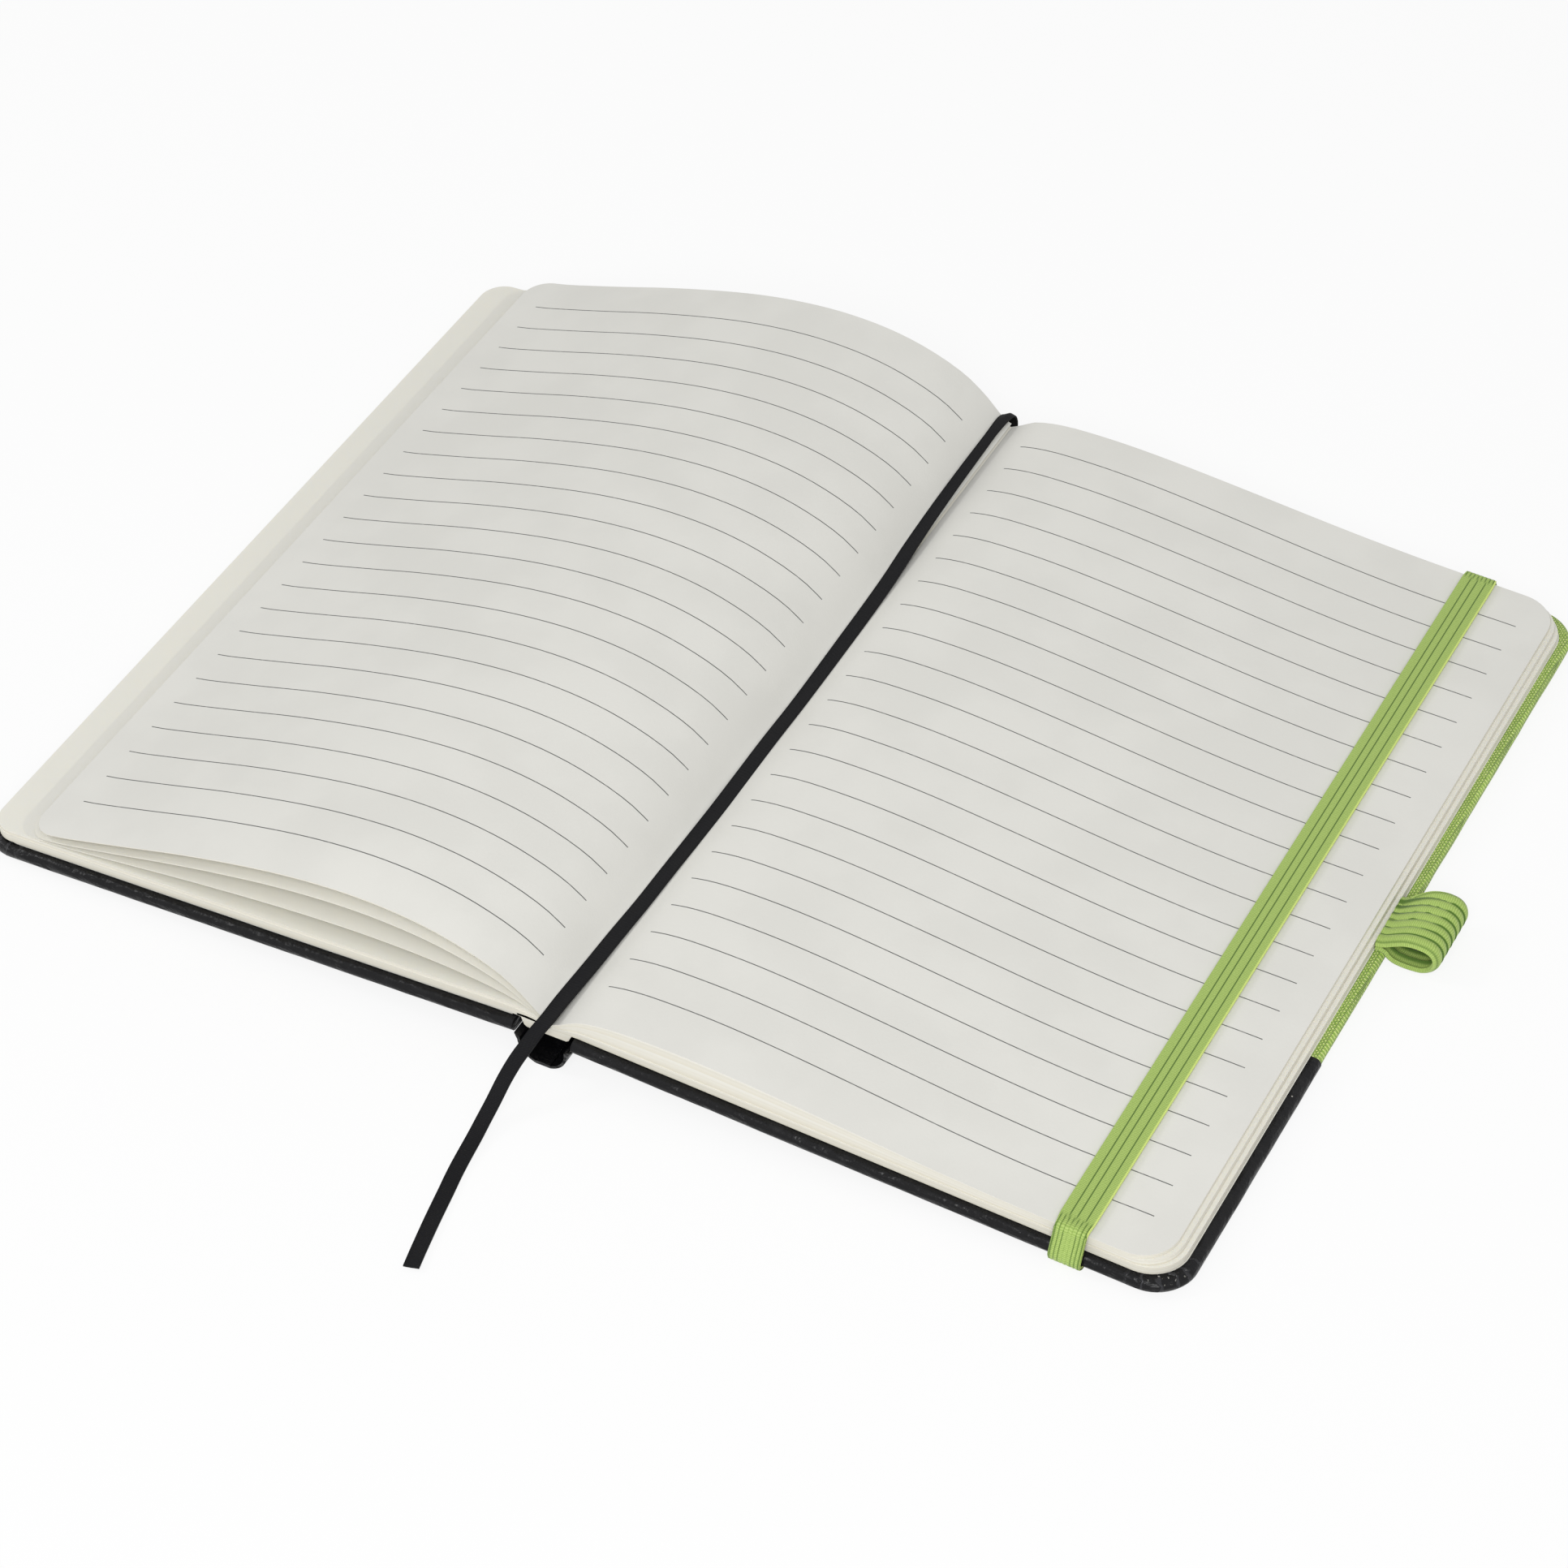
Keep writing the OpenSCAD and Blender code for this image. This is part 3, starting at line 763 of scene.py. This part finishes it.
# The ribbon's way from the spine's head down the gutter, over the tail edge and out on the table
RIBBON_ROUTE = [
    (0.5, 104, 7.6), (0.5, 104.4, 10.4), (0.2, 103.3, 12.7), (-0.1, 99, 13.2), (-0.1, 89, 13.1), (0, 77, 13),
    (0.2, 65, 12.7), (0.6, 54, 12.4), (1.2, 42, 12), (1.5, 31, 11.8), (1.7, 20, 11.8), (1.9, 8, 11.8),
    (2, -3, 11.8), (1.9, -14, 11.8), (2, -25, 11.8), (2.1, -36, 11.9), (1.9, -46, 11.8), (1.7, -57, 11.8),
    (1.6, -67, 11.8), (1.3, -77, 11.9), (1.1, -87, 12), (0.8, -97, 12.2), (0.8, -103, 12.3),
    (0.4, -106.5, 11.9), (-0.3, -110.2, 10.4), (-1.2, -113, 8.4), (-1.9, -116.2, 6), (-2.2, -120, 3.6),
    (-2.2, -124, 2.1), (-1.9, -128, 1.3), (-1.3, -134, 0.8), (-0.7, -138, 0.7), (0, -141.6, 0.7),
    (1.4, -149.2, 0.7), (2.9, -156.5, 0.7), (3.9, -161, 0.7)]

# How narrow the ribbon is drawn near its head, measured from a place this far above its middle
RIBBON_DRAWN = [(0, 0.86), (6, 0.86), (12, 0.72), (30, 0.8), (55, 1)]
DRAWN_FROM = 135


def make_ribbon(material):
    """Satin bookmark from the spine's head along the gutter and out over the tail."""
    line = smooth(RIBBON_ROUTE, 4)
    length = sum((b - a).length for a, b in zip(line, line[1:]))
    flat = Vector((1, 0, 0))

    def sideways(t):
        return (flat - t * flat.dot(t)).normalized()

    def relief(across, along):
        crown = max(0, 1 - abs(along + length / 2 - CROWN_AT) / CROWN_REACH)
        return 0.08 * math.sin(along / 9 + across) + crown * (0.55 * abs(across) - 0.25 * across - 0.3)

    def squeeze(across, along):
        return across * lookup(along + DRAWN_FROM, RIBBON_DRAWN)

    ribbon = bent_strip("ribbon", line, sideways, (RIBBON_W, RIBBON_T), 12, relief, squeeze, material,
                        "ribbon_bookmark")
    [p * MM for p in line]
    return ribbon


def make_studio():
    """Pale floor, soft lamps and the photograph's camera."""
    scene = bpy.context.scene
    scene.view_settings.view_transform = "Standard"
    camera = put_in_scene("camera", bpy.data.cameras.new("camera"))
    camera.data.lens = LENS
    camera.data.sensor_width = SENSOR
    place = Matrix((CAMERA_RIGHT, -CAMERA_DOWN, -CAMERA_FORWARD)).transposed().to_4x4()
    place.translation = CAMERA_PLACE * MM
    camera.matrix_world = place
    camera.data.clip_start = 0.05
    camera.data.clip_end = 20
    scene.camera = camera

    bm = bmesh.new()
    bmesh.ops.create_grid(bm, x_segments=1, y_segments=1, size=3)
    mesh = bpy.data.meshes.new("floor")
    bm.to_mesh(mesh)
    bm.free()
    mesh.materials.append(backdrop_finish())
    floor = put_in_scene("floor", mesh)
    floor.location.z = -0.0003

    world = bpy.data.worlds.new("studio")
    scene.world = world
    world.use_nodes = True
    tree = world.node_tree
    back = tree.nodes["Background"]
    back.inputs["Color"].default_value = (1, 1, 1, 1)
    level = plainly_seen(tree) * (1 - SKY) + SKY
    tree.links.new(level.socket, back.inputs["Strength"])

    for name, place, size, power in LAMPS:
        lamp = put_in_scene(name, bpy.data.lights.new(name, "AREA"))
        lamp.data.size = size
        lamp.data.energy = power
        lamp.location = place
        lamp.rotation_euler = (-Vector(place)).to_track_quat("-Z", "Y").to_euler()


def plainly_seen(tree):
    """1 for the rays that show the backdrop: straight to the camera, mirrored or through glass."""
    path = node(tree, "ShaderNodeLightPath", {}, {}, "Is Camera Ray")
    for kind in ("Is Glossy Ray", "Is Transmission Ray"):
        path = path.math("MAXIMUM", node(tree, "ShaderNodeLightPath", {}, {}, kind))
    return path


def backdrop_finish():
    """White floor that shows as plain white and keeps the object's soft shadow."""
    white = bpy.data.materials.new("backdrop")
    white.use_nodes = True
    tree = white.node_tree
    shader = tree.nodes["Principled BSDF"]
    shader.inputs["Base Color"].default_value = (0.92, 0.92, 0.92, 1)
    shader.inputs["Roughness"].default_value = 0.9
    shader.inputs["Specular IOR Level"].default_value = 0.1
    glow = tree.nodes.new("ShaderNodeEmission")
    glow.inputs["Strength"].default_value = 1.0
    blend = tree.nodes.new("ShaderNodeMixShader")
    tree.links.new((plainly_seen(tree) * FLOOR_GLOW).socket, blend.inputs[0])
    tree.links.new(shader.outputs[0], blend.inputs[1])
    tree.links.new(glow.outputs[0], blend.inputs[2])
    tree.links.new(blend.outputs[0], tree.nodes["Material Output"].inputs[0])
    return white


def paint(cad_name, material):
    """A solid that stays as it is takes its finish."""
    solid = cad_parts[cad_name]
    solid.data.materials.clear()
    solid.data.materials.append(material)


make_studio()
make_leaves(paper_finish(), paper_edge_finish(), inner_paper_finish())
leatherette = leatherette_finish()
canvas = canvas_finish()
dressed_skin("leatherette_back", "back_cover_leatherette", leatherette, "book",
             LEATHERETTE_WAVE)
dressed_skin("leatherette_front", "front_cover_leatherette", leatherette, "front_cover",
             LEATHERETTE_WAVE)
dressed_skin("canvas_back", "back_cover_canvas", canvas, "book", CANVAS_WAVE)
dressed_skin("canvas_front", "front_cover_canvas", canvas, "front_cover", CANVAS_WAVE)
make_band(elastic_finish("elastic_band_lime", BAND_GROOVES, BAND_RIB, BAND_TAUT + 0.5, BAND_BRIGHT_EDGE,
                         BAND_W))
make_pen_loop(elastic_finish("elastic_loop_lime", (), LOOP_RIB, -4, LOOP_W, LOOP_W / 2))
make_ribbon(ribbon_finish())
endpaper = endpaper_finish()
board = board_finish()
paint("pastedown_back", endpaper)
paint("pastedown_front", endpaper)
paint("board_back", board)
paint("board_front", board)
paint("spine_lining", lining_finish())
